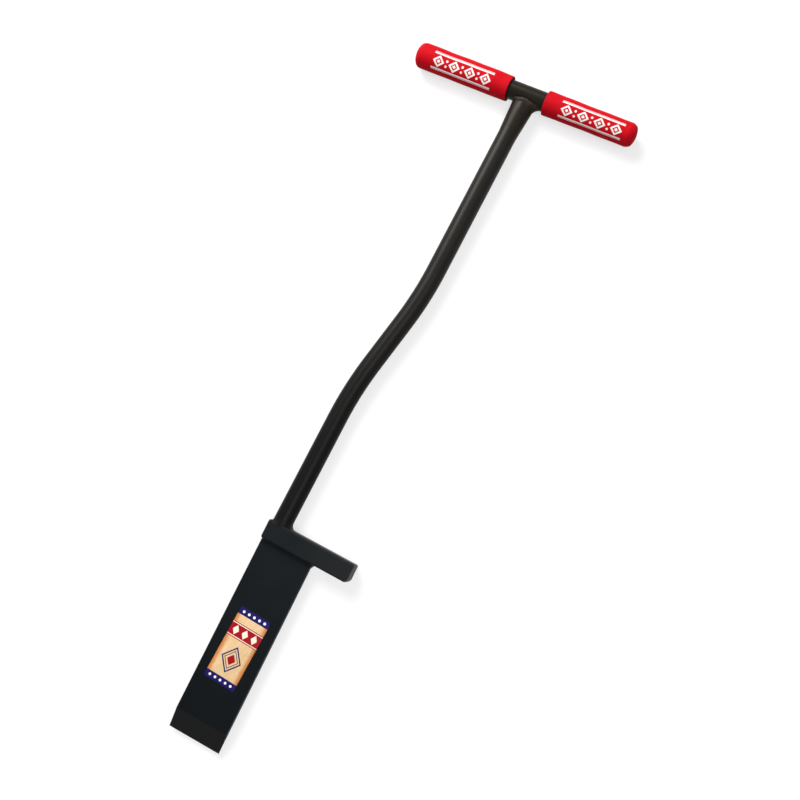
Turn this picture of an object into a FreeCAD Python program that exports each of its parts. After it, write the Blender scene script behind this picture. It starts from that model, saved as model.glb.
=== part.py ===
import FreeCAD, Part
import math
import os

from FreeCAD import Placement, Rotation, Vector

# Tree planting bar: chisel-ground blade, square foot step, bent tube shaft and a T handle with grips.
# The pieces are modelled in the tool frame: X across the blade, -Y the front of the tool, +Z up from
# the cutting edge, with X = 0 and Y = 0 on the blade's centre lines. The tool is then laid on its
# back, and its origin goes under the middle of its bounding box. Sizes are in millimetres.

# Blade: flat bar, ground to a chisel edge from the front
blade_width = 76.2
blade_thickness = 9.5
blade_length = 269.2
bevel_length = 27.0
cutting_edge_land = 0.8
blade_edge_radius = 1.0

# Foot step: square bar across the top of the blade, flush with the blade's left edge
step_size = 26.4
step_length = 130.0
step_edge_radius = 2.5
step_corner_cut = 4.0
step_end_chamfer = 1.2

# Shaft: round tube, bent twice so that the handle stands over the blade
shaft_diameter = 26.7
shaft_wall = 2.9
shaft_foot_x = -22.9
lower_bend_x = -19.6
lower_bend_z = 500.0
upper_bend_x = 10.1
upper_bend_z = 654.0
shaft_top_x = 16.3
bend_radius = 500.0

# Handle: straight tube across the top of the shaft, its bare part centred on the shaft
crossbar_diameter = 26.7
crossbar_wall = 2.9
crossbar_height = 973.0
bare_length = 54.0

# Grips: closed sleeves pushed over both ends of the crossbar; the left one is the longer
grip_diameter = 35.0
left_grip_length = 145.0
right_grip_length = 133.0
grip_end_wall = 7.0
grip_corner_radius = 8.5
grip_rim_chamfer = 0.8

# Welds: legs of the fillets along the faces that they join
blade_weld_out = 5.5
blade_weld_down = 7.0
foot_weld_out = 5.0
foot_weld_up = 6.0
foot_weld_overhang = 1.0

# Handle weld: a collar that widens the shaft's end to both sides, and a flare in the corner at its right
handle_collar_length = 66.0
handle_collar_toe = 0.3
handle_collar_front = 0.9
handle_collar_left = 3.6
handle_collar_right = 4.4
handle_flare_length = 28.0
handle_flare_root = 6.0
handle_flare_toe_radius = 8.0
handle_flare_reach = 18.0
handle_flare_radius = 12.0

# Label: thin plate stuck to the blade's front, a little out of square
label_width = 45.7
label_length = 100.0
label_thickness = 0.3
label_corner_radius = 2.0
label_centre_z = 129.0
label_tilt = 2.5

# Clearances between pieces that are fitted together
weld_clearance = 0.05
cope_clearance = 0.2
sleeve_clearance = 0.1
sleeve_end_clearance = 0.5

# Places worked out from the sizes
blade_left = -blade_width / 2
blade_right = blade_width / 2
blade_front = -blade_thickness / 2
blade_back = blade_thickness / 2
step_underside = blade_length
step_top = blade_length + step_size
step_back = step_size / 2
step_right = blade_left + step_length
shaft_radius = shaft_diameter / 2
crossbar_radius = crossbar_diameter / 2
grip_radius = grip_diameter / 2
crossbar_left = shaft_top_x - bare_length / 2 - left_grip_length + grip_end_wall + sleeve_end_clearance
crossbar_right = shaft_top_x + bare_length / 2 + right_grip_length - grip_end_wall - sleeve_end_clearance


def edges_along(solid, direction):
    """The straight edges of a solid that run along a direction."""
    found = []
    for edge in solid.Edges:
        if isinstance(edge.Curve, Part.Line):
            if abs(edge.tangentAt(edge.FirstParameter).dot(direction)) > 0.9999:
                found.append(edge)
    return found


def fillet_section(root, leg_a, leg_b):
    """Triangular section of a weld fillet, from its root and its two legs."""
    return Part.Face(Part.makePolygon([root, root + leg_a, root + leg_b, root]))


def make_blade():
    """Side outline of the blade, extruded across it, with the four long edges eased."""
    outline = [
        Vector(blade_left, blade_back, 0),
        Vector(blade_left, blade_back - cutting_edge_land, 0),
        Vector(blade_left, blade_front, bevel_length),
        Vector(blade_left, blade_front, blade_length),
        Vector(blade_left, blade_back, blade_length),
    ]
    side = Part.Face(Part.makePolygon(outline + outline[:1]))
    blade = side.extrude(Vector(blade_width, 0, 0))
    return blade.makeFillet(blade_edge_radius, edges_along(blade, Vector(0, 0, 1)))


def make_foot_step():
    """Square bar with rounded long edges, its free lower corner cut off and its sawn ends eased."""
    side = Part.makePolygon([
        Vector(blade_left, -step_back, step_underside),
        Vector(step_right - step_corner_cut, -step_back, step_underside),
        Vector(step_right, -step_back, step_underside + step_corner_cut),
        Vector(step_right, -step_back, step_top),
        Vector(blade_left, -step_back, step_top),
        Vector(blade_left, -step_back, step_underside),
    ])
    bar = Part.Face(side).extrude(Vector(0, step_size, 0))
    bar = bar.makeFillet(step_edge_radius, edges_along(bar, Vector(1, 0, 0)))
    ends = []
    for edge in bar.Edges:
        box = edge.BoundBox
        if box.XLength < 1e-6 and (abs(box.XMin - blade_left) < 1e-6 or abs(box.XMin - step_right) < 1e-6):
            ends.append(edge)
    return bar.makeChamfer(step_end_chamfer, ends)


def shaft_corners():
    """Corners of the shaft's centre line, from the foot on the step to the crossbar's axis."""
    return [
        Vector(shaft_foot_x, 0, step_top),
        Vector(lower_bend_x, 0, lower_bend_z),
        Vector(upper_bend_x, 0, upper_bend_z),
        Vector(shaft_top_x, 0, crossbar_height),
    ]


def shaft_route(below_foot):
    """Centre line of the shaft as straight runs joined by tangent arcs, started below the foot."""
    corners = shaft_corners()
    foot_direction = (corners[1] - corners[0]).normalize()
    start = corners[0] - foot_direction * below_foot
    runs = []
    for before, corner, after in zip(corners, corners[1:], corners[2:]):
        to_before = (before - corner).normalize()
        to_after = (after - corner).normalize()
        half_angle = to_before.getAngle(to_after) / 2
        bisector = (to_before + to_after).normalize()
        tangent = bend_radius / math.tan(half_angle)
        sagitta = bend_radius / math.sin(half_angle) - bend_radius
        first = corner + to_before * tangent
        last = corner + to_after * tangent
        runs.append(Part.makeLine(start, first))
        runs.append(Part.Arc(first, corner + bisector * sagitta, last).toShape())
        start = last
    runs.append(Part.makeLine(start, corners[-1]))
    return Part.Wire(runs)


def swept_round(route, radius):
    """Round bar along a route."""
    start = route.OrderedVertexes[0].Point
    direction = route.OrderedEdges[0].tangentAt(route.OrderedEdges[0].FirstParameter)
    section = Part.Wire(Part.makeCircle(radius, start, direction))
    return route.makePipeShell([section], True, False)


def make_shaft():
    """Bent tube, cut flat at the step's top and coped to the crossbar."""
    route = shaft_route(shaft_diameter)
    tube = swept_round(route, shaft_radius).cut(swept_round(route, shaft_radius - shaft_wall))
    below_step = Part.makeBox(
        4 * shaft_diameter, 4 * shaft_diameter, 4 * shaft_diameter,
        Vector(shaft_foot_x - 2 * shaft_diameter, -2 * shaft_diameter, step_top - 4 * shaft_diameter))
    return tube.cut(below_step).cut(crossbar_bar(crossbar_radius + cope_clearance))


def crossbar_bar(radius):
    """Round bar on the crossbar's axis, as long as the crossbar."""
    start = Vector(crossbar_left, 0, crossbar_height)
    return Part.makeCylinder(radius, crossbar_right - crossbar_left, start, Vector(1, 0, 0))


def make_crossbar():
    """Straight tube across the top of the tool."""
    return crossbar_bar(crossbar_radius).cut(crossbar_bar(crossbar_radius - crossbar_wall))


def make_grip(side, grip_length):
    """Closed sleeve with a rounded end, turned about the crossbar's axis; side is -1 or 1."""
    bore = crossbar_radius + sleeve_clearance
    corner_start = grip_length - grip_corner_radius
    corner_out = grip_radius - grip_corner_radius
    slant = grip_corner_radius * math.sin(math.pi / 4)

    def at(along, out):
        return Vector(shaft_top_x + side * (bare_length / 2 + along), 0, crossbar_height + out)

    corner = Part.Arc(
        at(corner_start, grip_radius),
        at(corner_start + slant, corner_out + slant),
        at(grip_length, corner_out))
    profile = [
        Part.makeLine(at(0, bore), at(0, grip_radius - grip_rim_chamfer)),
        Part.makeLine(at(0, grip_radius - grip_rim_chamfer), at(grip_rim_chamfer, grip_radius)),
        Part.makeLine(at(grip_rim_chamfer, grip_radius), at(corner_start, grip_radius)),
        corner.toShape(),
        Part.makeLine(at(grip_length, corner_out), at(grip_length, 0)),
        Part.makeLine(at(grip_length, 0), at(grip_length - grip_end_wall, 0)),
        Part.makeLine(at(grip_length - grip_end_wall, 0), at(grip_length - grip_end_wall, bore)),
        Part.makeLine(at(grip_length - grip_end_wall, bore), at(0, bore)),
    ]
    half_section = Part.Face(Part.Wire(profile))
    return half_section.revolve(at(0, 0), Vector(1, 0, 0), 360)


def make_blade_weld():
    """One run of fillet weld under the step, along the blade's front, right edge and back."""
    root_z = step_underside - weld_clearance
    down = Vector(0, 0, -blade_weld_down)
    front_root = Vector(blade_left + blade_edge_radius, blade_front - weld_clearance, root_z)
    back_root = Vector(blade_left + blade_edge_radius, blade_back + weld_clearance, root_z)
    side_root = Vector(blade_right + weld_clearance, blade_front, root_z)
    along = Vector(blade_width - blade_edge_radius, 0, 0)
    across = Vector(0, blade_thickness, 0)
    front = fillet_section(front_root, Vector(0, -blade_weld_out, 0), down).extrude(along)
    back = fillet_section(back_root, Vector(0, blade_weld_out, 0), down).extrude(along)
    side = fillet_section(side_root, Vector(blade_weld_out, 0, 0), down).extrude(across)
    weld = front.fuse(side).fuse(back)
    for corner_y, root in ((blade_front, front_root), (blade_back, back_root)):
        pivot = Vector(blade_right, corner_y, root_z)
        start = Vector(blade_right, root.y, root_z)
        outward = Vector(0, math.copysign(blade_weld_out, corner_y), 0)
        turn = -math.copysign(90, corner_y)
        corner = fillet_section(start, outward, down).revolve(pivot, Vector(0, 0, 1), turn)
        weld = weld.fuse(corner)
    return weld.removeSplitter()


def make_foot_weld():
    """Fillet weld round the shaft's foot, over the step's front edge and open at its back."""
    corners = shaft_corners()
    foot = corners[0]
    up = (corners[1] - corners[0]).normalize()
    out = up.cross(Vector(0, 1, 0))
    sunk = foot - up * foot_weld_up + out * (shaft_radius + weld_clearance)
    above = fillet_section(foot + out * (shaft_radius + weld_clearance), out * foot_weld_out,
                            up * foot_weld_up)
    below = Part.Face(Part.makePolygon([
        sunk, sunk + out * foot_weld_out, sunk + out * foot_weld_out + up * foot_weld_up,
        sunk + up * foot_weld_up, sunk]))
    ring = above.revolve(foot, up, 360).fuse(below.revolve(foot, up, 360))
    over_step = Part.makeBox(
        step_length, step_size + foot_weld_overhang, step_size,
        Vector(blade_left, -step_back - foot_weld_overhang, step_top + weld_clearance))
    return ring.common(over_step).removeSplitter()


def leaning_cone(top, foot, top_radius, foot_radius):
    """Cone between two points, whose axis may lean."""
    return Part.makeCone(top_radius, foot_radius, (foot - top).Length, top, foot - top)


def make_handle_weld():
    """Weld round the shaft's end: two cones leaning apart and a flare at the right, coped to the crossbar."""
    corners = shaft_corners()
    top = corners[-1]
    down = (corners[-2] - top).normalize()
    toe = top + down * handle_collar_length
    weld = leaning_cone(
        top + Vector(handle_flare_reach, 0, 0),
        top + down * handle_flare_length + Vector(handle_flare_root, 0, 0),
        handle_flare_radius, handle_flare_toe_radius)
    for offset in (-handle_collar_left, handle_collar_right):
        weld = weld.fuse(leaning_cone(
            top + Vector(offset, 0, 0), toe,
            shaft_radius + handle_collar_front, shaft_radius + handle_collar_toe))
    below_axis = Part.makeBox(
        8 * shaft_diameter, 4 * shaft_diameter, 4 * shaft_diameter,
        Vector(shaft_top_x - 4 * shaft_diameter, -2 * shaft_diameter, crossbar_height - 4 * shaft_diameter))
    shaft_end = Part.makeCylinder(
        shaft_radius + weld_clearance, 5 * shaft_diameter, top - down * shaft_diameter, down)
    weld = weld.common(below_axis).cut(crossbar_bar(crossbar_radius + weld_clearance))
    return weld.cut(shaft_end).removeSplitter()


def make_label():
    """Thin plate with rounded corners on the blade's front."""
    plate = Part.makeBox(
        label_width, label_thickness, label_length,
        Vector(-label_width / 2, blade_front - label_thickness, label_centre_z - label_length / 2))
    plate = plate.makeFillet(label_corner_radius, edges_along(plate, Vector(0, 1, 0)))
    plate.rotate(Vector(0, 0, label_centre_z), Vector(0, 1, 0), label_tilt)
    return plate


def laid_on_back():
    """Placement of the tool on its back, resting on both grips and on the step's back lower edge."""
    run = crossbar_height - step_underside - step_edge_radius
    rise = step_back - step_edge_radius
    drop = grip_radius - step_edge_radius
    tilt = math.asin(drop / math.hypot(run, rise)) - math.atan2(rise, run)
    near_end = (blade_back - cutting_edge_land) * math.sin(tilt)
    far_end = crossbar_height * math.cos(tilt) + grip_radius
    lowest = crossbar_height * math.sin(tilt) - grip_radius
    handle_middle = shaft_top_x + (right_grip_length - left_grip_length) / 2
    origin = Vector(-handle_middle, -(near_end + far_end) / 2, -lowest)
    return Placement(origin, Rotation(Vector(1, 0, 0), math.degrees(tilt) - 90))


def main():
    pieces = {
        "blade": make_blade(),
        "foot_step": make_foot_step(),
        "shaft": make_shaft(),
        "crossbar": make_crossbar(),
        "left_grip": make_grip(-1, left_grip_length),
        "right_grip": make_grip(1, right_grip_length),
        "blade_weld": make_blade_weld(),
        "foot_weld": make_foot_weld(),
        "handle_weld": make_handle_weld(),
        "blade_label": make_label(),
    }
    os.makedirs("parts", exist_ok=True)
    placement = laid_on_back()
    for name, piece in pieces.items():
        solid = piece.Solids[0]
        solid.Placement = placement.multiply(solid.Placement)
        solid.exportStep(os.path.join("parts", name + ".step"))
        print(name, "solids", len(piece.Solids), "valid", solid.isValid(), "mm3", round(solid.Volume))


main()
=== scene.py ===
import math

import bmesh
import bpy
import numpy as np
from bpy.props import FloatProperty, FloatVectorProperty, PointerProperty
from mathutils import Euler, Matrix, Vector


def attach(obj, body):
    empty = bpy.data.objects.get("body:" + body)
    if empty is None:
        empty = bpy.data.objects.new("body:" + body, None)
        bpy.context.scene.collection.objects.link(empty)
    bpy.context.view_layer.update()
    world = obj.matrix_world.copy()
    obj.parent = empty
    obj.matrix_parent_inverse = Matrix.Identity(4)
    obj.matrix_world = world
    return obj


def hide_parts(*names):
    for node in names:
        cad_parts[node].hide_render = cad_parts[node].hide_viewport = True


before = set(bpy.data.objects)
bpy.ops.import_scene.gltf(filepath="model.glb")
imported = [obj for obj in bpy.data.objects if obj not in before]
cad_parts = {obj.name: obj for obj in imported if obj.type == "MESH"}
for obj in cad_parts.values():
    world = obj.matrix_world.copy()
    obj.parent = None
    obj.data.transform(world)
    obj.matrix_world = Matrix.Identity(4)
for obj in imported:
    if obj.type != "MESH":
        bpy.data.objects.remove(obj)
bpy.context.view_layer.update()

# The shapes are worked out in the tool's own axes, in metres: x across the blade, y from its front to
# its back, z along the tool from the cutting edge. laid_down() then turns them on to the floor.

bl_info = {
    "name": "Tree planting bar",
    "version": (1, 0, 0),
    "blender": (4, 5, 0),
    "location": "3D View > Sidebar > Planting Bar",
    "description": "Builds a tree planting bar of bar, tube and welds with foam grips, and its studio",
    "category": "Add Mesh",
}


def length(label, text, millimetres):
    """A size that a user can change, kept in metres."""
    return FloatProperty(name=label, description=text, default=millimetres / 1000, precision=5,
                         unit="LENGTH")


def angle(label, text, degrees):
    """An angle that a user can change, kept in radians."""
    return FloatProperty(name=label, description=text, default=math.radians(degrees), unit="ROTATION")


def colour(label, text, value):
    """A finish colour that a user can change, in linear light."""
    return FloatVectorProperty(name=label, description=text, default=value, size=3, min=0, max=1,
                               subtype="COLOR")


class PlantingBarSizes(bpy.types.PropertyGroup):
    """Real sizes of the tool."""
    blade_width: length("Blade width", "Width of the flat bar", 76.2)
    blade_thickness: length("Blade thickness", "Thickness of the flat bar", 9.5)
    blade_length: length("Blade length", "Cutting edge to the underside of the foot step", 269.2)
    bevel: length("Bevel", "Length of the ground bevel on the front", 27)
    edge_land: length("Edge land", "Thickness left at the cutting edge", 0.8)
    blade_edge: length("Blade edge radius", "Radius along the blade's long edges", 1)
    step: length("Step bar", "Side of the square bar", 26.4)
    step_length: length("Step length", "Length of the square bar", 130)
    step_edge: length("Step edge radius", "Radius along the square bar's edges", 2.5)
    step_cut: length("Step corner cut", "Corner cut off under the step's free end", 4)
    step_chamfer: length("Step end chamfer", "Easing round the sawn ends", 1.2)
    step_lean: angle("Step lean", "How far the step is welded out of square", 1.2)
    shaft: length("Shaft diameter", "Outside of the bent tube", 26.7)
    foot_x: length("Foot offset", "Shaft's foot from the blade's middle", -22.9)
    lower_bend_x: length("Lower bend offset", "Lower bend from the blade's middle", -19.6)
    lower_bend_z: length("Lower bend height", "Lower bend above the cutting edge", 500)
    upper_bend_x: length("Upper bend offset", "Upper bend from the blade's middle", 10.1)
    upper_bend_z: length("Upper bend height", "Upper bend above the cutting edge", 654)
    top_x: length("Top offset", "Shaft's top from the blade's middle", 16.3)
    bend: length("Bend radius", "Centre line radius of both bends", 500)
    crossbar: length("Crossbar diameter", "Outside of the handle tube", 26.7)
    height: length("Crossbar height", "Handle's axis above the cutting edge", 973)
    bare: length("Bare length", "Crossbar between the grips", 54)
    grip: length("Grip diameter", "Outside of the foam sleeves", 35)
    left_grip: length("Left grip length", "Length of the left foam sleeve", 145)
    right_grip: length("Right grip length", "Length of the right foam sleeve", 133)
    grip_wall: length("Grip end wall", "Foam over the crossbar's end", 7)
    grip_corner: length("Grip corner", "Radius between a sleeve's side and its crown", 10)
    grip_crown: length("Grip crown", "Radius of a sleeve's end", 30)
    grip_turn: angle("Grip turn", "How far the print on the sleeves is turned round", 24)
    left_swell: length("Left grip swell", "Growth of the left sleeve's radius at its end", 0.5)
    right_swell: length("Right grip swell", "Growth of the right sleeve's radius at its end", -1.0)
    label_width: length("Label width", "Across the blade", 45.7)
    label_length: length("Label length", "Along the blade", 100)
    label_film: length("Label thickness", "Thickness of the film", 0.3)
    label_z: length("Label height", "Label's middle above the cutting edge", 129)
    label_corner: length("Label corner", "Radius of the film's corners", 1.8)
    label_tilt: angle("Label tilt", "How far the label is stuck out of square", 2.5)
    blade_weld_out: length("Blade weld out", "Leg of the blade's weld along the step", 5)
    blade_weld_down: length("Blade weld down", "Leg of the blade's weld along the blade", 6.6)
    foot_weld: length("Foot weld", "Leg of the foot's weld at its left", 4.8)
    foot_weld_growth: length("Foot weld growth", "How much that leg grows to the right", 4.2)
    handle_weld: length("Handle weld", "Leg of the handle's weld at its left", 3)
    handle_weld_growth: length("Handle weld growth", "How much that leg grows to the right", 5.2)
    handle_bead: length("Handle bead", "Bead's lower toe under the handle's axis, at the front", 14.5)
    collar: length("Handle weld length", "Reach of the handle's weld down the shaft", 68)
    collar_left: length("Handle weld left", "How far it widens the shaft's end to the left", 3.4)
    collar_right: length("Handle weld right", "How far it widens the shaft's end to the right", 4.4)
    ripple: length("Weld ripple", "Distance from one ripple to the next", 2.4)


class PlantingBarFinish(bpy.types.PropertyGroup):
    """Colours of the finishes."""
    flat_enamel: colour("Flat bar enamel", "Enamel on the blade and the foot step",
                        (0.0046, 0.0062, 0.0072))
    # Tip enamel: the darker colour that the blade's enamel goes to towards the cutting edge.
    tip_enamel: colour("Tip enamel", "Enamel near the cutting edge", (0.0026, 0.0036, 0.0044))
    tube_enamel: colour("Lower tube enamel", "Enamel on the lower shaft", (0.0026, 0.0027, 0.0027))
    # Upper tube enamel: lighter and browner than the lower; the crossbar and the handle's weld take it
    # too.
    warm_enamel: colour("Upper tube enamel", "Thinner, browner enamel near the handle",
                        (0.0070, 0.0056, 0.0039))
    foam: colour("Foam", "Foam of the grips", (0.52, 0.004, 0.011))
    print_white: colour("Print", "Ink on the grips", (0.86, 0.83, 0.81))
    kraft: colour("Label ground", "Ground of the label", (0.62, 0.42, 0.22))
    burnt: colour("Label edge", "Shaded edge of the label", (0.50, 0.16, 0.03))
    navy: colour("Label blue", "Blue of the label's bands", (0.007, 0.003, 0.085))
    band_red: colour("Label red", "Red of the label's bands", (0.30, 0.003, 0.010))


# Shapes

def laid_down(points):
    """Turns points of the tool's axes on to the floor. The tool lies on both grips and on the step's
    back lower edge: it turns back by 90 degrees less the small tilt that these two heights give."""
    s = bpy.context.scene.planting_bar
    run = s.height - s.blade_length - s.step_edge
    rise = s.step / 2 - s.step_edge
    drop = s.grip / 2 - s.step_edge
    tilt = math.asin(drop / math.hypot(run, rise)) - math.atan2(rise, run)
    near = (s.blade_thickness / 2 - s.edge_land) * math.sin(tilt)
    far = s.height * math.cos(tilt) + s.grip / 2
    lowest = s.height * math.sin(tilt) - s.grip / 2
    x, y, z = np.moveaxis(np.asarray(points, float), -1, 0)
    return np.stack([
        x - s.top_x - (s.right_grip - s.left_grip) / 2,
        y * math.sin(tilt) + z * math.cos(tilt) - (near + far) / 2,
        -y * math.cos(tilt) + z * math.sin(tilt) - lowest,
    ], axis=-1)


def rounded_ring(left, right, near, far, radius, arc=6, margin=0.0004):
    """Closed outlines of rounded rectangles, one a row: each corner is a quarter circle about a centre
    one radius inside both sides, with one more point a margin before and after it, so that the sides
    shade flat."""
    left, right, near, far, radius = np.broadcast_arrays(
        *map(np.atleast_1d, (left, right, near, far, radius)))
    outline = []
    corners = ((right - radius, near + radius), (right - radius, far - radius),
               (left + radius, far - radius), (left + radius, near + radius))
    for quarter, (cx, cy) in enumerate(corners):
        turn = np.linspace(0, math.pi / 2, arc + 1) + (quarter - 1) * math.pi / 2
        arcs = np.stack([cx[:, None] + radius[:, None] * np.cos(turn),
                         cy[:, None] + radius[:, None] * np.sin(turn)], -1)
        ahead = margin * np.stack([-np.sin(turn), np.cos(turn)], -1)
        outline += [arcs[:, :1] - ahead[0], arcs, arcs[:, -1:] + ahead[-1]]
    return np.concatenate(outline, axis=1)


def bent_line(corners, radius, spacing):
    """A route in the x-z plane and its direction: straight runs joined by arcs tangent to both, each
    arc about a centre on the corner's bisector, given as points about one spacing apart."""
    corners = np.asarray(corners, float)
    points, start = [], corners[0]
    for before, corner, after in zip(corners, corners[1:], corners[2:]):
        a = (before - corner) / np.linalg.norm(before - corner)
        b = (after - corner) / np.linalg.norm(after - corner)
        half = math.acos(float(a @ b)) / 2
        sweep = math.pi - 2 * half
        first, last = corner + a * radius / math.tan(half), corner + b * radius / math.tan(half)
        centre = corner + (a + b) / np.linalg.norm(a + b) * radius / math.sin(half)
        count = max(2, int(np.linalg.norm(first - start) / spacing))
        points.append(start + (first - start) * np.linspace(0, 1, count, endpoint=False)[:, None])
        turn = np.linspace(0, 1, max(3, int(radius * sweep / spacing)), endpoint=False)[:, None]
        points.append(centre + (np.sin((1 - turn) * sweep) * (first - centre)
                                + np.sin(turn * sweep) * (last - centre)) / math.sin(sweep))
        start = last
    count = max(2, int(np.linalg.norm(corners[-1] - start) / spacing))
    points.append(start + (corners[-1] - start) * np.linspace(0, 1, count)[:, None])
    line = np.concatenate(points)
    direction = np.gradient(line, axis=0)
    return line, direction / np.linalg.norm(direction, axis=1)[:, None]


def weld_run(toe_up, root, toe_out, inside, pitch, height, fullness, crown=0.0, sides=14):
    """A weld bead along stations: its face is the quadratic curve from one toe to the other that the
    root pulls in, raised by a crown and by ripples. A ripple is a skewed crescent wave of the length
    run, which rises over seven tenths of its pitch and is highest half-way between the toes."""
    share = np.linspace(0, 1, sides)[None, :, None]
    outward = (toe_up + toe_out) / 2 - inside
    outward = outward / np.linalg.norm(outward, axis=1)[:, None]
    pull = root + (toe_up + toe_out - 2 * root) * fullness
    face = (toe_up[:, None] * (1 - share) ** 2 + 2 * pull[:, None] * share * (1 - share)
            + toe_out[:, None] * share ** 2)
    middle = face[:, sides // 2]
    run = np.concatenate([[0], np.cumsum(np.linalg.norm(np.diff(middle, axis=0), axis=1))])
    run = run[:, None, None] / pitch
    crescent, rising = 0.55 * (2 * share - 1) ** 2, 0.7
    phase = (run + 0.12 * np.sin(run * 0.9) - crescent) % 1
    wave = np.where(phase < rising, phase / rising, (1 - phase) / (1 - rising)) ** 0.8 - 0.5
    bulge = np.clip(np.sin(math.pi * share), 0, 1) ** 0.7
    uneven = 0.5 * np.sin(run * 0.53) + 0.5 * np.sin(run * 0.31 + 1.3)
    face = face + outward[:, None] * bulge * (crown + height * wave + 0.6 * height * uneven)
    return np.concatenate([face, inside[:, None]], axis=1)


def add_piece(name, points, material, nodes, ends="closed", uv=None, wear_and_highlight=None, sharp=35):
    """Makes one piece of a grid of points, whose columns close on themselves. ends is closed for a fan
    over the first and last row, joined where the last row meets the first, and pole where both are
    single points. uv is a map with one more column than the grid. wear_and_highlight is a value from
    0 to 1 at each point that the enamel reads: worn paint, and painted highlights. Edges turn sharp
    from an angle in degrees."""
    rows, columns = points.shape[:2]
    row, column = np.meshgrid(np.arange(rows if ends == "joined" else rows - 1), np.arange(columns),
                              indexing="ij")
    ahead, beside = (row + 1) % rows, (column + 1) % columns
    quads = np.stack([row * columns + column, row * columns + beside,
                      ahead * columns + beside, ahead * columns + column], axis=-1).reshape(-1, 4)
    vertices = laid_down(points).reshape(-1, 3)
    faces = quads.tolist()
    if ends == "closed":
        ring = np.arange(columns)
        for first, centre in ((0, len(vertices)), ((rows - 1) * columns, len(vertices) + 1)):
            faces += np.stack([first + ring, first + (ring + 1) % columns,
                               np.full(columns, centre)], axis=-1).tolist()
        vertices = np.concatenate([vertices, laid_down(points[[0, -1]]).mean(axis=1)])
    mesh = bpy.data.meshes.new(name)
    mesh.from_pydata(vertices.tolist(), [], faces)
    if uv is not None:
        first = row * (columns + 1) + column
        corner = np.stack([first, first + 1, first + columns + 2, first + columns + 1], axis=-1)
        layer = mesh.uv_layers.new(name="surface")
        values = np.zeros((len(mesh.loops), 2), np.float32)
        values[:corner.size] = uv.reshape(-1, 2)[corner.reshape(-1)]
        layer.data.foreach_set("uv", values.ravel())
    if wear_and_highlight is not None:
        values = np.zeros(len(mesh.vertices), np.float32)
        values[:rows * columns] = wear_and_highlight.ravel()
        mesh.attributes.new("wear_and_highlight", "FLOAT", "POINT").data.foreach_set("value", values)
    clean = bmesh.new()
    clean.from_mesh(mesh)
    bmesh.ops.remove_doubles(clean, verts=clean.verts, dist=1e-7)
    bmesh.ops.dissolve_degenerate(clean, edges=clean.edges, dist=1e-8)
    bmesh.ops.recalc_face_normals(clean, faces=clean.faces)
    clean.to_mesh(mesh)
    clean.free()
    mesh.shade_smooth()
    mesh.set_sharp_from_angle(angle=math.radians(sharp))
    mesh.materials.append(material)
    piece = bpy.data.objects.new(name, mesh)
    bpy.context.scene.collection.objects.link(piece)
    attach(piece, "root")
    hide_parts(*nodes)
    return piece


# Materials

class Wire:
    """The output of a shader node. Arithmetic on it adds Math nodes, or Vector Math nodes on a vector
    or a colour."""

    def __init__(self, paint, socket):
        self.paint = paint
        self.socket = socket

    def combine(self, operation, *values):
        kind = "ShaderNodeVectorMath" if self.socket.type in ("VECTOR", "RGBA") else "ShaderNodeMath"
        return self.paint.node(kind, {"operation": operation}, dict(enumerate(values)))

    def __add__(self, other):
        return self.combine("ADD", self, other)

    def __radd__(self, other):
        return self.combine("ADD", other, self)

    def __sub__(self, other):
        return self.combine("SUBTRACT", self, other)

    def __rsub__(self, other):
        return self.combine("SUBTRACT", other, self)

    def __mul__(self, other):
        return self.combine("MULTIPLY", self, other)

    def __truediv__(self, other):
        return self.combine("DIVIDE", self, other)

    def __pow__(self, other):
        return self.combine("POWER", self, other)

    def __abs__(self):
        return self.combine("ABSOLUTE", self)

    def most(self, other):
        return self.combine("MAXIMUM", self, other)

    def part(self, index):
        """One coordinate of a vector."""
        return self.paint.node("ShaderNodeSeparateXYZ", {}, {0: self}, index)

    def fade(self, low, high, bottom=0.0, top=1.0):
        """Smooth step of the value from bottom at low to top at high."""
        return self.paint.node("ShaderNodeMapRange", {"interpolation_type": "SMOOTHSTEP"},
                               {"Value": self, "From Min": low, "From Max": high,
                                "To Min": bottom, "To Max": top})

    def within(self, size, soft):
        """1 where the value is under a size, 0 above it, with a soft width to both sides."""
        return self.fade(size - soft, size + soft, 1.0, 0.0)

    def between(self, low, high, soft):
        """1 from low to high, with a soft width outside and inside."""
        return self.fade(low - soft, low + soft) * self.within(high, soft)

    def zigzag(self, half):
        """The value folded to and fro between 0 and half a pitch."""
        return self.combine("PINGPONG", self, half)


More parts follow.
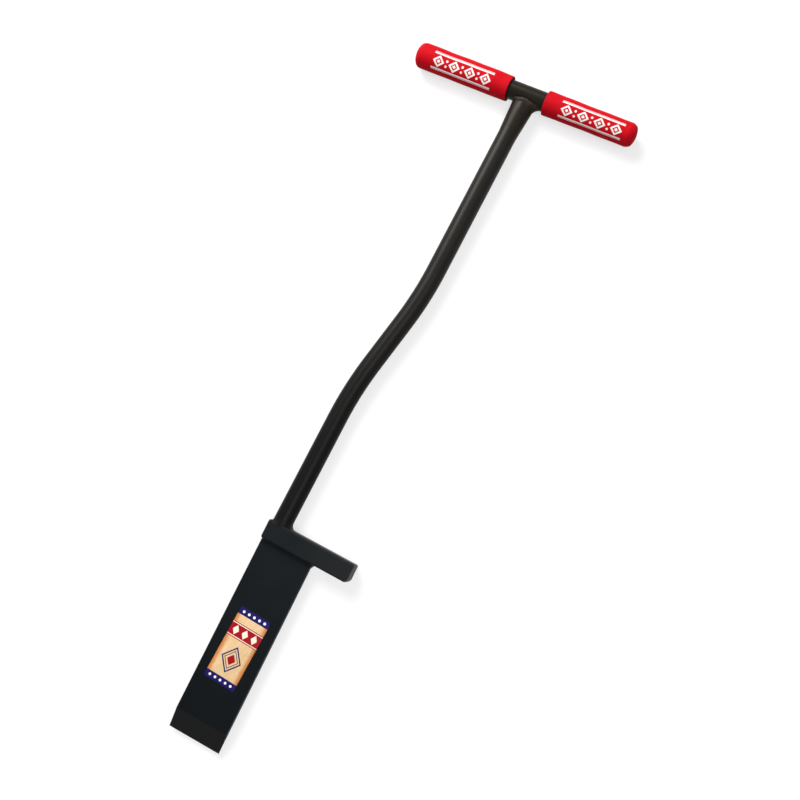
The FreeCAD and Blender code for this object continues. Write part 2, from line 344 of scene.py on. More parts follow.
class Paint:
    """The nodes of a material or of a world, added by one method."""

    def __init__(self, owner):
        owner.use_nodes = True
        self.owner = owner
        self.tree = owner.node_tree
        self.tree.nodes.clear()

    def node(self, kind, settings=None, inputs=None, output=0):
        """Adds a node: its settings first, then the values or links of its inputs."""
        made = self.tree.nodes.new(kind)
        for key, value in (settings or {}).items():
            setattr(made, key, value)
        for key, value in (inputs or {}).items():
            if isinstance(value, Wire):
                self.tree.links.new(value.socket, made.inputs[key])
            else:
                made.inputs[key].default_value = value
        return Wire(self, made.outputs[output]) if made.outputs else None

    def place(self):
        """Object coordinates, which are the tool's place on the floor, in millimetres."""
        return self.node("ShaderNodeVectorMath", {"operation": "SCALE"},
                         {0: self.node("ShaderNodeTexCoord", {}, {}, "Object"), "Scale": 1000.0})

    def noise(self, where, size, detail=2.0, roughness=0.5):
        """Soft noise from 0 to 1 whose lumps are about one size across, in millimetres."""
        return self.node("ShaderNodeTexNoise", {"noise_dimensions": "3D"},
                         {"Vector": where, "Scale": 1.0 / size, "Detail": detail,
                          "Roughness": roughness})

    def blend(self, share, first, second):
        """Mixes two colours by a share. A Mix node's colours are its inputs 6 and 7 and its output 2."""
        return self.node("ShaderNodeMix", {"data_type": "RGBA"},
                         {0: share, 6: rgba(first), 7: rgba(second)}, 2)

    def wear_and_highlight(self):
        """The wear and the painted highlights that the mesh holds at each point."""
        return self.node("ShaderNodeAttribute", {"attribute_name": "wear_and_highlight"}, {}, "Fac")

    def relief(self, height, millimetres, normal=None):
        """Normal of a surface raised by a height from 0 to 1 times a depth in millimetres."""
        inputs = {"Height": height, "Distance": millimetres / 1000.0, "Strength": 1.0}
        if normal is not None:
            inputs["Normal"] = normal
        return self.node("ShaderNodeBump", {}, inputs)

    def shown(self):
        """1 for what the camera sees directly, in a reflection or through glass, 0 for light on the
        tool."""
        camera, glossy, through = (self.node("ShaderNodeLightPath", {}, {}, name)
                                   for name in ("Is Camera Ray", "Is Glossy Ray", "Is Transmission Ray"))
        return camera.most(glossy).most(through)

    def finish(self, **inputs):
        """Ends the material in a Principled shader with these inputs, underscores for spaces."""
        named = {key.replace("_", " "): value for key, value in inputs.items()}
        shader = self.node("ShaderNodeBsdfPrincipled", {"distribution": "MULTI_GGX"}, named)
        self.node("ShaderNodeOutputMaterial", {}, {"Surface": shader})
        return self.owner


def rgba(value):
    """A colour with its alpha, or a link as it is."""
    return value if isinstance(value, Wire) else (*value[:3], 1.0)


DUST = (0.10, 0.10, 0.10)
WEAR_AND_HIGHLIGHT_ENAMEL = (0.075, 0.066, 0.054)
WELD_CREST_AND_HIGHLIGHT = (0.060, 0.046, 0.030)
LACQUER_ROUGHNESS = 0.36


def enamel(name, colours, roughness, gloss, coarse=1.1, reach=(-170.0, 380.0), lacquer=0.0,
           tint=(1.0, 1.0, 1.0)):
    """Satin enamel on steel: over a reach along the tool, in millimetres, the colour goes from the first
    to the second and the lacquer grows, with soft clouds in it, thin streaks along the bar, a lighter
    brown where the mesh marks wear and painted highlights, and a fine orange peel in the relief."""
    paint = Paint(bpy.data.materials.new(name))
    where = paint.place()
    clouds = paint.noise(where, 38.0, 3.0)
    streaks = paint.noise(where * (0.5, 0.04, 0.5), 1.0, 2.0)
    peel = paint.noise(where, coarse, 3.0, 0.6)
    dust = paint.noise(where, 2.2, 4.0, 0.7).fade(0.62, 0.8)
    upper = where.part(1).fade(*reach)
    base = paint.blend(upper, colours[0], colours[1])
    base = paint.blend(clouds.fade(0.35, 0.7) * 0.55, base, base * (1.35, 1.33, 1.3))
    base = paint.blend(dust * 0.04, base, DUST)
    # Worn paint and painted highlights that the mesh marks turn the enamel lighter and browner.
    base = paint.blend(paint.wear_and_highlight() * 0.5, base, WEAR_AND_HIGHLIGHT_ENAMEL)
    rough = roughness + (clouds - 0.5) * 0.10 + (streaks - 0.5) * 0.05 + dust * 0.06
    height = peel * 0.7 + streaks * 0.3
    coat = {"Coat_Weight": upper * lacquer, "Coat_Roughness": LACQUER_ROUGHNESS} if lacquer else {}
    return paint.finish(Base_Color=base, Roughness=rough, Specular_IOR_Level=gloss,
                        Specular_Tint=rgba(tint),
                        Normal=paint.relief(height, 0.035, paint.relief(clouds, 0.25)), **coat)


def weld_enamel(name, colours, gloss, lacquer=0.0):
    """Enamel that ran thin over weld metal: lighter and browner in lumps, browner on the crests that the
    mesh marks, which is thin enamel with a painted highlight, and grainy in the relief."""
    paint = Paint(bpy.data.materials.new(name))
    where = paint.place()
    lumps = paint.noise(where, 3.5, 3.0, 0.6)
    grains = paint.noise(where, 0.6, 3.0, 0.6)
    upper = where.part(1).fade(60.0, 420.0)
    base = paint.blend(upper, colours[0], colours[1])
    base = paint.blend(lumps.fade(0.45, 0.75) * 0.6, base, base * (2.1, 1.9, 1.6))
    # Crests marked in the mesh turn browner: thin enamel over weld metal, with a painted highlight.
    base = paint.blend(paint.wear_and_highlight() * lumps.fade(0.25, 0.6), base, WELD_CREST_AND_HIGHLIGHT)
    rough = 0.42 + (lumps - 0.5) * 0.2
    return paint.finish(Base_Color=base, Roughness=rough, Specular_IOR_Level=gloss,
                        Specular_Tint=(1.0, 0.88, 0.72, 1.0), Coat_Weight=lacquer,
                        Coat_Roughness=LACQUER_ROUGHNESS,
                        Normal=paint.relief(grains, 0.05, paint.relief(lumps, 0.25)))


def foam_rubber(name, foam, ink):
    """Closed-cell foam with a skin: fine cells as relief, with painted shade in their pits, slight clouds
    in the red, painted shade on the sleeve's open end and a plain printed pattern. The map runs in
    millimetres from the sleeve's open end and round it, so the print follows the curve: outlined lozenges
    in a row, each the places where along/long + round/wide is under 1, dots between them, and a bar and a
    thin line along both sides."""
    paint = Paint(bpy.data.materials.new(name))
    where = paint.place()
    cells = paint.node("ShaderNodeTexVoronoi", {"feature": "F1"}, {"Vector": where, "Scale": 1.7})
    skin = paint.noise(where, 1.1, 4.0, 0.65)
    clouds = paint.noise(where, 16.0, 3.0)
    mapped = paint.node("ShaderNodeTexCoord", {}, {}, "UV") * (1000.0, 1000.0, 0.0)
    along, aside = mapped.part(0), abs(mapped.part(1))
    half_pitch, start, first, last = 12.0, 14.0, 24.5, 115.5
    pitch = (along + start).zigzag(half_pitch)

    def lozenge(long, wide, soft):
        return (pitch / long + aside / wide).within(1.0, soft)

    shift, lift = half_pitch - pitch, aside - 3.6
    dot = ((shift * shift + lift * lift) ** 0.5).within(1.65, 0.25)
    bars, lines = aside.between(9.4, 11.6, 0.15), aside.between(12.4, 13.0, 0.1)
    rings = lozenge(8.6, 8.2, 0.04) - lozenge(5.2, 5.0, 0.06) + lozenge(2.6, 2.5, 0.1)
    printed = rings.most(dot).most(bars).most(lines) * along.between(first, last, 0.15)
    printed = printed * skin.fade(0.30, 0.42)
    deeper, pore_shade = (foam[0] * 0.86, foam[1] * 0.6, foam[2] * 0.75), (foam[0] * 0.62, 0.002, 0.006)
    red = paint.blend(clouds.fade(0.3, 0.75) * 0.5, foam, deeper)
    # Painted shade: the pits of the foam's cells are darker red.
    red = paint.blend(cells.fade(0.0, 0.35, 1.0, 0.0) * 0.25, red, pore_shade)
    base = paint.blend(printed, red, ink)
    # Painted shade: the sleeve's open end face and its eased edge go near black.
    base = paint.blend(along.within(0.35, 0.2), base, (0.012, 0.006, 0.006))
    rough = 0.62 + (skin - 0.5) * 0.16 - printed * 0.08
    height = cells * 0.25 + skin * 0.75
    normal = paint.relief(height, 0.11, paint.relief(clouds, 0.5))
    return paint.finish(Base_Color=base, Roughness=rough, Specular_IOR_Level=0.05,
                        Normal=paint.relief(printed, 0.06, normal))


def label_print(name, finish, centre, tilt):
    """Printed film, about a centre in millimetres and turned by a tilt: a kraft ground that darkens to
    its long sides, dotted blue bands over both short ends, a red band with three pale lozenges, and a
    blue lozenge frame. Every lozenge is a sum of distances over sizes that is under 1."""
    paint = Paint(bpy.data.materials.new(name))
    where = paint.place()
    local = paint.node("ShaderNodeMapping", {"vector_type": "TEXTURE"},
                       {"Vector": where, "Location": centre, "Rotation": (0.0, 0.0, tilt)})
    u, v = local.part(0), local.part(1)
    fibres = paint.noise(local * (1.0, 0.12, 1.0), 1.4, 4.0, 0.65)
    stains = paint.noise(local, 9.0, 4.0, 0.6)
    ground = paint.blend(fibres.fade(0.35, 0.7) * 0.45, finish.kraft, (0.80, 0.62, 0.38))
    ground = paint.blend(stains.fade(0.5, 0.75) * 0.4, ground, (0.45, 0.27, 0.12))
    ground = paint.blend((abs(u) + stains * 4.0).fade(17.5, 23.5) * 0.9, ground, finish.burnt)
    band = v.between(10.0, 30.0, 0.15)
    half_pitch = 7.0
    row = half_pitch - (u + 101 * half_pitch).zigzag(half_pitch)
    marks = (row / 4.6 + abs(v - 20.0) / 6.4).within(1.0, 0.07) * abs(u).within(18.15, 0.15)
    edges = v.between(11.2, 12.2, 0.15).most(v.between(27.8, 28.8, 0.15))
    base = paint.blend(band, ground, finish.band_red)
    base = paint.blend(band * marks.most(edges), base, (0.80, 0.72, 0.58))
    frame_size = abs(u) / 15.5 + abs(v + 16.0) / 19.0
    base = paint.blend(frame_size.between(0.82, 0.97, 0.012), base, finish.navy)
    base = paint.blend(frame_size.between(0.60, 0.68, 0.012), base, finish.navy)
    base = paint.blend(frame_size.within(0.40, 0.02), base, finish.band_red)
    strip = abs(v).fade(40.3, 40.6)
    dots, lift = (u + 400.0).zigzag(4.0), abs(v) - 45.2
    spots = ((dots * dots + lift * lift) ** 0.5).within(1.75, 0.25)
    base = paint.blend(strip, base, finish.navy)
    base = paint.blend(strip * spots * abs(u).within(20.75, 0.15), base, (0.86, 0.86, 0.9))
    scuffs = paint.noise(local, 0.9, 3.0, 0.7)
    rough = 0.36 + stains * 0.12 + scuffs.fade(0.6, 0.8) * 0.12
    return paint.finish(Base_Color=base, Roughness=rough, Specular_IOR_Level=0.12,
                        Normal=paint.relief(fibres, 0.02, paint.relief(stains, 0.12)))


# Pieces

TUBE_SIDES = 96


def fail_unless(condition, message):
    """Stops the build with a plain message."""
    if not condition:
        raise RuntimeError(message)


def step_rise(s, x):
    """How far the leaning step lies above its square place, which it keeps at a pivot beside the
    blade."""
    pivot = s.blade_width / 2 + 0.012
    return -math.tan(s.step_lean) * (x - pivot)


def shaft_route(s):
    """Corners of the shaft's centre line in the x-z plane."""
    return [(s.foot_x, s.blade_length + s.step), (s.lower_bend_x, s.lower_bend_z),
            (s.upper_bend_x, s.upper_bend_z), (s.top_x, s.height)]


def round_station(centre, direction, radius, turn):
    """Points round a tube: centre plus radius times cos(turn) to its right and sin(turn) to its back."""
    right = np.stack([direction[..., 1], np.zeros_like(direction[..., 0]), -direction[..., 0]], -1)
    middle = np.stack([centre[..., 0], np.zeros_like(centre[..., 0]), centre[..., 1]], -1)
    return (middle + radius * np.cos(turn)[..., None] * right
            + radius * np.sin(turn)[..., None] * np.array([0.0, 1.0, 0.0]))


class PLANTINGBAR_OT_blade(bpy.types.Operator):
    """Build the blade: a rounded rectangle carried up the bar, its front drawn back along the bevel"""
    bl_idname = "planting_bar.blade"
    bl_label = "Blade"

    def execute(self, context):
        s, finish = context.scene.planting_bar, context.scene.planting_bar_finish
        fail_unless(s.blade_thickness > s.edge_land, "The blade is thinner than its cutting edge")
        ground = np.array([0.0, 0.03, 0.1, 0.25, 0.5, 0.75, 0.95, 0.985, 1.0]) * s.bevel
        flat = np.linspace(s.bevel + 0.004, s.blade_length, 40)
        rows = np.concatenate([ground, [s.bevel + 0.0004], flat])
        side, back = s.blade_width / 2, s.blade_thickness / 2
        drawn = np.clip(1 - rows / s.bevel, 0, 1) * (s.blade_thickness - s.edge_land)
        radius = np.minimum(s.blade_edge, (s.blade_thickness - drawn) * 0.42)
        ring = rounded_ring(-side, side, -back + drawn, back, radius, 5, 0.0003)
        up = rows[:, None] + 0 * ring[..., 0]
        up[-1] += step_rise(s, ring[-1, :, 0])
        points = np.concatenate([ring, up[..., None]], axis=-1)
        # The blade's enamel goes darker towards the cutting edge.
        coat = enamel("satin_black_flat", (finish.tip_enamel, finish.flat_enamel), 0.46, 0.05, 1.3,
                      (-480.0, -250.0))
        wear_and_highlight = np.where(rows < s.bevel + 0.0002, 0.14, 0.0)[:, None] + 0 * ring[..., 0]
        add_piece("blade_ground", points, coat, ["blade"], wear_and_highlight=wear_and_highlight)
        return {"FINISHED"}


class PLANTINGBAR_OT_foot_step(bpy.types.Operator):
    """Build the foot step: a rounded square carried across, its lower side rising at the cut corner"""
    bl_idname = "planting_bar.foot_step"
    bl_label = "Foot step"

    def execute(self, context):
        s, finish = context.scene.planting_bar, context.scene.planting_bar_finish
        left = -s.blade_width / 2
        right = left + s.step_length
        cut, fine = right - s.step_cut, 0.0003
        left_end, right_end = left + s.step_chamfer, right - s.step_chamfer
        rows = np.concatenate([
            [left, left, left + fine, left_end - fine, left_end, left_end + fine],
            np.linspace(left + 0.003, cut - fine, 50), [cut, cut + fine],
            np.linspace(cut + 0.001, right_end - fine, 5),
            [right_end, right_end + fine, right - fine, right, right]])
        inset = np.clip(np.maximum(left_end - rows, rows - right_end), 0, None)
        inset[[0, -1]] += 0.0006
        low = s.blade_length + np.clip(rows - cut, 0, None)
        top = s.blade_length + s.step
        radius = np.maximum(s.step_edge - inset, 0.0008)
        half = s.step / 2
        ring = rounded_ring(-half + inset, half - inset, low + inset, top - inset, radius, 8, 0.0005)
        along = np.broadcast_to(rows[:, None], ring.shape[:2])
        points = np.stack([along, ring[..., 0], ring[..., 1] + step_rise(s, along)], axis=-1)
        # Painted reflection: the step's enamel grows lighter and browner towards its free end.
        wear_and_highlight = np.clip(along / right, 0, 1) * 0.10
        corner = ring.shape[1] // 4
        front, front_top = slice(2 * corner, None), slice(2 * corner + 7, 2 * corner + 9)
        # Painted highlight along the step's top front edge, right of the shaft's foot.
        wear_and_highlight[rows > s.foot_x + s.shaft / 2 + 0.009, front_top] = 0.3
        # Painted highlight on the front of the eased edge round the step's free end.
        wear_and_highlight[(rows > right_end - fine / 2) & (rows < right), front] = 1.0
        coat = enamel("satin_black_step", (finish.flat_enamel, finish.flat_enamel), 0.42, 0.08)
        add_piece("foot_step_bar", points, coat, ["foot_step"], wear_and_highlight=wear_and_highlight)
        return {"FINISHED"}


class PLANTINGBAR_OT_shaft(bpy.types.Operator):
    """Build the shaft: a circle carried along straight runs and tangent arcs, up to the handle's cope"""
    bl_idname = "planting_bar.shaft"
    bl_label = "Shaft"

    def execute(self, context):
        s, finish = context.scene.planting_bar, context.scene.planting_bar_finish
        line, direction = bent_line(shaft_route(s), s.bend, 0.004)
        below_cope = line[:, 1] < s.height - 0.012
        line = np.concatenate([line[:1] - direction[:1] * 0.0005, line[below_cope]])
        direction = np.concatenate([direction[:1], direction[below_cope]])
        turn = np.linspace(0, 2 * math.pi, TUBE_SIDES, endpoint=False)
        points = round_station(line[:, None], direction[:, None], s.shaft / 2,
                               np.broadcast_to(turn, (len(line), TUBE_SIDES)))
        # The shaft's enamel goes lighter and browner towards the handle, and its lacquer grows.
        coat = enamel("satin_black_tube", (finish.tube_enamel, finish.warm_enamel), 0.40, 0.07,
                      lacquer=0.15)
        add_piece("shaft_tube", points, coat, ["shaft"])
        return {"FINISHED"}


class PLANTINGBAR_OT_crossbar(bpy.types.Operator):
    """Build the crossbar: a circle carried along the handle's axis"""
    bl_idname = "planting_bar.crossbar"
    bl_label = "Crossbar"

    def execute(self, context):
        s, finish = context.scene.planting_bar, context.scene.planting_bar_finish
        gap = 0.0005
        left = s.top_x - s.bare / 2 - s.left_grip + s.grip_wall + gap
        right = s.top_x + s.bare / 2 + s.right_grip - s.grip_wall - gap
        turn = np.linspace(0, 2 * math.pi, TUBE_SIDES, endpoint=False)
        along = np.linspace(left, right, 60)[:, None]
        points = np.stack([along + 0 * turn, s.crossbar / 2 * np.cos(turn) + 0 * along,
                           s.height + s.crossbar / 2 * np.sin(turn) + 0 * along], axis=-1)
        coat = enamel("satin_black_handle", (finish.warm_enamel, finish.warm_enamel), 0.36, 0.12,
                      1.0, tint=(1.0, 0.9, 0.74))
        add_piece("crossbar_tube", points, coat, ["crossbar"])
        return {"FINISHED"}


class PLANTINGBAR_OT_grips(bpy.types.Operator):
    """Build both foam grips: a profile of bore, rim, side, corner and crown turned about the handle's
    axis"""
    bl_idname = "planting_bar.grips"
    bl_label = "Grips"

    def execute(self, context):
        s, finish = context.scene.planting_bar, context.scene.planting_bar_finish
        radius, bore, ease, rim = s.grip / 2, s.crossbar / 2 + 0.0001, 0.0005, 0.0014
        coat = foam_rubber("red_foam", finish.foam, finish.print_white)
        quarter = np.linspace(0, math.pi / 2, 8)
        reach = s.grip_crown - s.grip_corner
        lean = math.asin((radius - s.grip_corner) / reach)
        corner, crown = np.linspace(math.pi / 2, lean, 20), np.linspace(lean, 0, 16)[1:]
        turn = np.linspace(0, 2 * math.pi, 121)
        around = turn + s.grip_turn
        for name, side, size, swell, node in (
                ("left_grip_sleeve", -1, s.left_grip, s.left_swell, "left_grip"),
                ("right_grip_sleeve", 1, s.right_grip, s.right_swell, "right_grip")):
            crown_centre = size - s.grip_crown
            corner_centre = crown_centre + reach * math.cos(lean)
            blind = size - s.grip_wall
            along = np.concatenate([
                [blind, blind, 0.002, 0.0006], ease * (1 - np.sin(quarter)), [0.0],
                rim * (1 - np.cos(quarter)), np.linspace(rim + ease, corner_centre - ease, 70),
                corner_centre + s.grip_corner * np.cos(corner),
                crown_centre + s.grip_crown * np.cos(crown)])
            out = np.concatenate([
                [0.0, bore, bore, bore], bore + ease * (1 - np.cos(quarter)), [(bore + radius) / 2],
                radius - rim * (1 - np.sin(quarter)), np.full(70, radius),
                radius - s.grip_corner * (1 - np.sin(corner)), s.grip_crown * np.sin(crown)])
            wave = 0.00012 * (np.sin(along * 61 + side) + np.sin(along * 143 + 2 * side))
            wave = wave + swell * (0.5 + 0.5 * along / size)
            wave = np.where(out > bore + 0.001, wave, 0) * np.clip(out / radius, 0, 1)
            soft = (out + wave)[:, None]
            x = s.top_x + side * (s.bare / 2 + along[:, None]) + 0 * around
            lift = np.clip(soft - radius, 0, None)
            points = np.stack([x, soft * np.cos(around) - lift,
                               s.height + soft * np.sin(around)], axis=-1)
            map_along = along[:, None] + 0 * turn
            map_round = (turn - math.pi) * radius + 0 * map_along
            add_piece(name, points[:, :-1], coat, [node], "pole",
                      np.stack([map_along, map_round], axis=-1), sharp=50)
        return {"FINISHED"}


class PLANTINGBAR_OT_blade_weld(bpy.types.Operator):
    """Build the blade's weld: one run under the step along the front, round the right edge and along
    the back"""
    bl_idname = "planting_bar.blade_weld"
    bl_label = "Blade weld"

    def execute(self, context):
        s, finish = context.scene.planting_bar, context.scene.planting_bar_finish
        left, right, half = -s.blade_width / 2 + 0.0004, s.blade_width / 2, s.blade_thickness / 2
        run = np.arange(left, right, 0.0003)
        turn = np.linspace(-math.pi / 2, 0, 24)
        side = np.linspace(-half, 0, 16)[1:]
        root_x = np.concatenate([run, np.full(len(turn) + len(side), right)])
        root_y = np.concatenate([np.full(len(run) + len(turn), -half), side])
        out = np.concatenate([np.stack([0 * run, 0 * run - 1], -1),
                              np.stack([np.cos(turn), np.sin(turn)], -1),
                              np.tile([1.0, 0.0], (len(side), 1))])
        root_x = np.concatenate([root_x, root_x[-2::-1]])
        root_y = np.concatenate([root_y, -root_y[-2::-1]])
        out = np.concatenate([out, out[-2::-1] * (1, -1)])
        root = np.stack([root_x, root_y, s.blade_length + step_rise(s, root_x)], -1)
        outward = np.concatenate([out, np.zeros((len(out), 1))], axis=1)
        begin = np.clip((root_x - left) / 0.004, 0, 1)[:, None]
        size = np.sqrt(1 - (1 - begin) ** 2) * 0.999 + 0.001
        down = np.array([0.0, 0.0, -1.0])
        toe_up = root + outward * s.blade_weld_out * size
        toe_out = root + down * s.blade_weld_down * size
        inside = root - outward * 0.001 - down * 0.001
        points = weld_run(toe_up, root, toe_out, inside, s.ripple, 0.00022, 0.30)
        coat = weld_enamel("weld_enamel_flat", (finish.flat_enamel, finish.flat_enamel), 0.05)
        add_piece("blade_weld_run", points, coat, ["blade_weld"], sharp=60)
        return {"FINISHED"}


class PLANTINGBAR_OT_foot_weld(bpy.types.Operator):
    """Build the foot's weld: stations round the tube, whose outer toe stays on the step and sinks at
    its edges"""
    bl_idname = "planting_bar.foot_weld"
    bl_label = "Foot weld"

    def execute(self, context):
        s, finish = context.scene.planting_bar, context.scene.planting_bar_finish
        top, half = s.blade_length + s.step, s.step / 2
        corners = np.array(shaft_route(s))
        up = (corners[1] - corners[0]) / np.linalg.norm(corners[1] - corners[0])
        turn = np.linspace(0, 2 * math.pi, 360, endpoint=False)
        centre, along = (np.broadcast_to(pair, (len(turn), 2)) for pair in (corners[0], up))
        root = round_station(centre, along, s.shaft / 2, turn)
        rightness = (1 + np.cos(turn)) / 2
        leg = s.foot_weld + s.foot_weld_growth * rightness ** 2
        axis = np.array([up[0], 0.0, up[1]])
        toe_up = root + axis * (leg * 1.05)[:, None]
        x = np.maximum(root[:, 0] + leg * np.cos(turn), -s.blade_width / 2 + 0.0003)
        y = root[:, 1] + leg * np.sin(turn)
        limit = half + 0.00003
        past = np.clip(np.abs(y) - half, 0, 0.0016)
        y = np.clip(y, -limit, limit)
        over = np.clip(np.abs(y) - (half - s.step_edge), 0, s.step_edge)
        z = top - (s.step_edge - np.sqrt(s.step_edge ** 2 - over ** 2)) - past + step_rise(s, x)
        toe_out = np.stack([x, y, z], -1)
        radial = np.stack([np.cos(turn), np.sin(turn), 0 * turn], -1)
        inside = root - radial * 0.003 - np.array([0.0, 0.0, 0.003])
        pull = root.copy()
        pull[:, 2] = np.minimum(pull[:, 2], (toe_up[:, 2] + z) / 2)
        points = weld_run(toe_up, pull, toe_out, inside, s.ripple, 0.00014, 0.12)
        coat = weld_enamel("weld_enamel_foot", (finish.tube_enamel, finish.tube_enamel), 0.09)
        add_piece("foot_weld_run", points, coat, ["foot_weld"], "joined", sharp=60)
        return {"FINISHED"}


class PLANTINGBAR_OT_handle_weld(bpy.types.Operator):
    """Build the handle's weld: a collar that widens the shaft's end as a power of the height, and a bead
    round the cope whose legs grow to a flare on the right"""
    bl_idname = "planting_bar.handle_weld"
    bl_label = "Handle weld"

    def execute(self, context):
        s, finish = context.scene.planting_bar, context.scene.planting_bar_finish
        corners = np.array(shaft_route(s))
        rise = (corners[3] - corners[2]) / np.linalg.norm(corners[3] - corners[2])
        axis, across = np.array([rise[0], 0.0, rise[1]]), np.array([rise[1], 0.0, -rise[0]])
        top = np.array([corners[3][0], 0.0, corners[3][1]])
        bar, tube = s.crossbar / 2, s.shaft / 2
        turn = np.linspace(0, 2 * math.pi, 420, endpoint=False)
        ahead = np.array([0.0, 1.0, 0.0])
        widen = np.where(np.cos(turn) > 0, s.collar_right, s.collar_left) * np.abs(np.cos(turn))

        def on_collar(below, out):
            """Points a distance below the handle's axis and a distance outside the widened tube."""
            share = np.clip(1 - below / s.collar, 0, 1)
            grown = tube + out + 0.0004 * share
            beside = grown * np.cos(turn) + np.sign(np.cos(turn)) * widen * share ** 1.15
            return (top + beside[:, None] * across + (grown * np.sin(turn))[:, None] * ahead
                    - axis * below[:, None])

        front = np.sin(turn) ** 2
        leg = s.handle_weld + s.handle_weld_growth * ((1 + np.cos(turn)) / 2) ** 3
        swing = np.arcsin(np.clip((tube + 0.0002) / bar * np.sin(turn), -0.999, 0.999))
        swing = swing * (1 - 0.41 * front)
        high = bar * np.cos(swing)
        low = s.handle_bead * front + (bar + leg) * (1 - front)
        middle = high + 0.5 * (low - high) * front
        root, toe_up = on_collar(middle, 0.0), on_collar(low, 0.0)
        toe_out = np.stack([on_collar(high, 0.0)[:, 0] + leg * np.cos(turn), bar * np.sin(swing),
                            s.height - high], -1)
        inside = on_collar(middle, -0.003) + np.outer(1 - front, [0.0, 0.0, 0.001])
        crown = 0.0010 * front[:, None, None]
        bead = weld_run(toe_up, root, toe_out, inside, s.ripple, 0.00030, 0.10, crown)
        lengths = np.linspace(1, 0, 26, endpoint=False)
        below = [low * (1 - k) + s.collar * k for k in lengths]
        hollow = [0.0009 * front * np.exp(-((b - low - 0.006) / 0.005) ** 2) for b in below]
        collar = [on_collar(b, -0.0003 * k ** 6 - h) for b, k, h in zip(below, lengths, hollow)]
        hidden = on_collar(np.full(len(turn), s.collar), -0.002)
        points = np.concatenate([hidden[:, None], np.stack(collar, axis=1), bead], axis=1)
        coat = weld_enamel("weld_enamel_handle", (finish.warm_enamel, finish.warm_enamel), 0.10, 0.08)
        # The bead's front crest is marked browner in the enamel: thin enamel over weld metal, with a
        # painted highlight.
        crest, toe, width = np.zeros(points.shape[:2]), 1 + len(collar), 12
        crest[:, toe + 1:toe + 1 + width] = (
            front[:, None] * np.sin(np.linspace(0, math.pi, width)) ** 2)
        add_piece("handle_weld_run", points, coat, ["handle_weld"], "joined", wear_and_highlight=crest,
                  sharp=60)
        return {"FINISHED"}


class PLANTINGBAR_OT_label(bpy.types.Operator):
    """Build the label: a thin rounded plate with an eased edge, a little out of square"""
    bl_idname = "planting_bar.label"
    bl_label = "Label"

    def execute(self, context):
        s, finish = context.scene.planting_bar, context.scene.planting_bar_finish
        tilt = s.label_tilt
        inset = np.array([0.0, 0.0, 0.0001, 0.0002])
        front = -s.blade_thickness / 2 - np.array([0.0, 0.6, 0.9, 1.0]) * s.label_film
        half_width, half_length = s.label_width / 2 - inset, s.label_length / 2 - inset
        ring = rounded_ring(-half_width, half_width, -half_length, half_length,
                            s.label_corner - inset, 6, 0.0003)
        x, z = ring[..., 0], ring[..., 1]
        points = np.stack([x * math.cos(tilt) + z * math.sin(tilt), front[:, None] + 0 * x,
                           s.label_z - x * math.sin(tilt) + z * math.cos(tilt)], axis=-1)
        centre = laid_down([0.0, -s.blade_thickness / 2, s.label_z]) * 1000
        film = label_print("label_film", finish, tuple(centre), -tilt)
        add_piece("label_film", points, film, ["blade_label"])
        return {"FINISHED"}


# Area lamps: name, side in metres, power in watts, place, target and spread in degrees.
LAMPS = (
    ("key_softbox", 2.2, 196.0, (-2.1, 2.05, 2.5), (0.0, 0.0, 0.0), 180.0),
    ("front_softbox", 1.5, 3.0, (0.6, -0.36, 1.65), (-0.02, -0.06, 0.0), 36.0),
)
CAMERA_PLACE = (0.3176205, -0.1185478, 1.3106252)
CAMERA_TURN = (0.1883607, 0.1460492, 0.4649634)
FLOOR = 6.0
WHITE = (1.0, 1.0, 1.0, 1.0)
SURROUND_LIGHT = 0.28


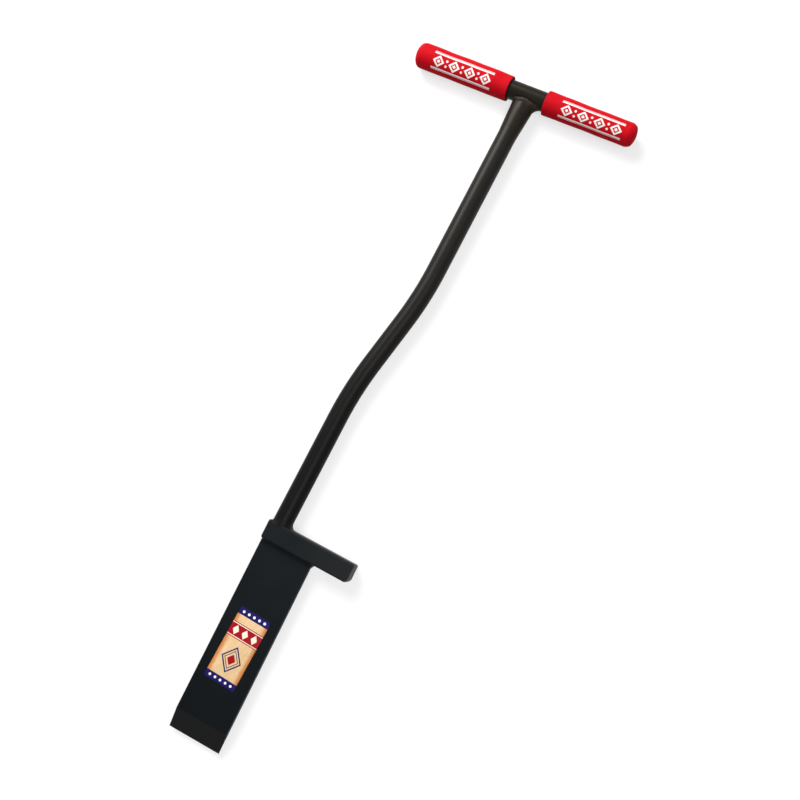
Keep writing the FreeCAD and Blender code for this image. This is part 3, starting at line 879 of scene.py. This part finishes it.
class PLANTINGBAR_OT_stage(bpy.types.Operator):
    """Build the studio: a pale floor that turns white with the distance, a white surround, soft lamps and
    the camera"""
    bl_idname = "planting_bar.stage"
    bl_label = "Studio"

    def execute(self, context):
        floor_mesh = bpy.data.meshes.new("studio_floor")
        floor_mesh.from_pydata([(-FLOOR, -FLOOR, 0), (FLOOR, -FLOOR, 0), (FLOOR, FLOOR, 0),
                                (-FLOOR, FLOOR, 0)], [], [(0, 1, 2, 3)])
        floor = bpy.data.objects.new("studio_floor", floor_mesh)
        context.scene.collection.objects.link(floor)
        paint = Paint(bpy.data.materials.new("studio_white"))
        seen = paint.shown()
        pale = paint.blend(seen, (0.30, 0.30, 0.30), (0.92, 0.92, 0.92))
        lit = paint.node("ShaderNodeBsdfDiffuse", {}, {"Color": pale})
        bright = paint.node("ShaderNodeEmission", {}, {"Color": WHITE, "Strength": 1.0})
        where = paint.place()
        far = (where.part(0) ** 2.0 + where.part(1) ** 2.0) ** 0.5
        share = seen * far.fade(900.0, 2600.0, 0.66, 1.0)
        mixed = paint.node("ShaderNodeMixShader", {}, {0: share, 1: lit, 2: bright})
        paint.node("ShaderNodeOutputMaterial", {}, {"Surface": mixed})
        floor_mesh.materials.append(paint.owner)

        world = bpy.data.worlds.new("studio_surround")
        context.scene.world = world
        surround = Paint(world)
        strength = surround.shown().fade(0.0, 1.0, SURROUND_LIGHT, 1.0)
        sky = surround.node("ShaderNodeBackground", {}, {"Color": WHITE, "Strength": strength})
        surround.node("ShaderNodeOutputWorld", {}, {"Surface": sky})

        for name, size, energy, place, target, spread in LAMPS:
            lamp = bpy.data.lights.new(name, "AREA")
            lamp.shape = "SQUARE"
            lamp.size = size
            lamp.energy = energy
            lamp.spread = math.radians(spread)
            holder = bpy.data.objects.new(name, lamp)
            holder.location = place
            aim = Vector(target) - holder.location
            holder.rotation_euler = aim.to_track_quat("-Z", "Y").to_euler()
            holder.visible_camera = False
            context.scene.collection.objects.link(holder)

        lens = bpy.data.cameras.new("studio_camera")
        lens.lens = 45.0
        lens.sensor_width = 36.0
        camera = bpy.data.objects.new("studio_camera", lens)
        camera.location = CAMERA_PLACE
        camera.rotation_euler = Euler(CAMERA_TURN, "XYZ")
        context.scene.collection.objects.link(camera)
        context.scene.camera = camera
        context.scene.view_settings.view_transform = "Standard"
        return {"FINISHED"}


OPERATORS = (
    PLANTINGBAR_OT_blade, PLANTINGBAR_OT_foot_step, PLANTINGBAR_OT_shaft,
    PLANTINGBAR_OT_crossbar, PLANTINGBAR_OT_grips, PLANTINGBAR_OT_blade_weld,
    PLANTINGBAR_OT_foot_weld, PLANTINGBAR_OT_handle_weld, PLANTINGBAR_OT_label,
    PLANTINGBAR_OT_stage,
)


class PLANTINGBAR_PT_pieces(bpy.types.Panel):
    """Lists the pieces of the planting bar, with their sizes and finishes"""
    bl_idname = "PLANTINGBAR_PT_pieces"
    bl_label = "Planting Bar"
    bl_space_type = "VIEW_3D"
    bl_region_type = "UI"
    bl_category = "Planting Bar"

    def draw(self, context):
        for operator in OPERATORS:
            self.layout.operator(operator.bl_idname)
        for group in (context.scene.planting_bar, context.scene.planting_bar_finish):
            box = self.layout.box()
            for key in group.__annotations__:
                box.prop(group, key)


CLASSES = (PlantingBarSizes, PlantingBarFinish, *OPERATORS, PLANTINGBAR_PT_pieces)


def register():
    for entry in CLASSES:
        bpy.utils.register_class(entry)
    bpy.types.Scene.planting_bar = PointerProperty(type=PlantingBarSizes)
    bpy.types.Scene.planting_bar_finish = PointerProperty(type=PlantingBarFinish)


def unregister():
    del bpy.types.Scene.planting_bar_finish
    del bpy.types.Scene.planting_bar
    for entry in reversed(CLASSES):
        bpy.utils.unregister_class(entry)


def main():
    register()
    for operator in OPERATORS:
        group, name = operator.bl_idname.split(".")
        getattr(getattr(bpy.ops, group), name)()


if __name__ == "__main__":
    main()
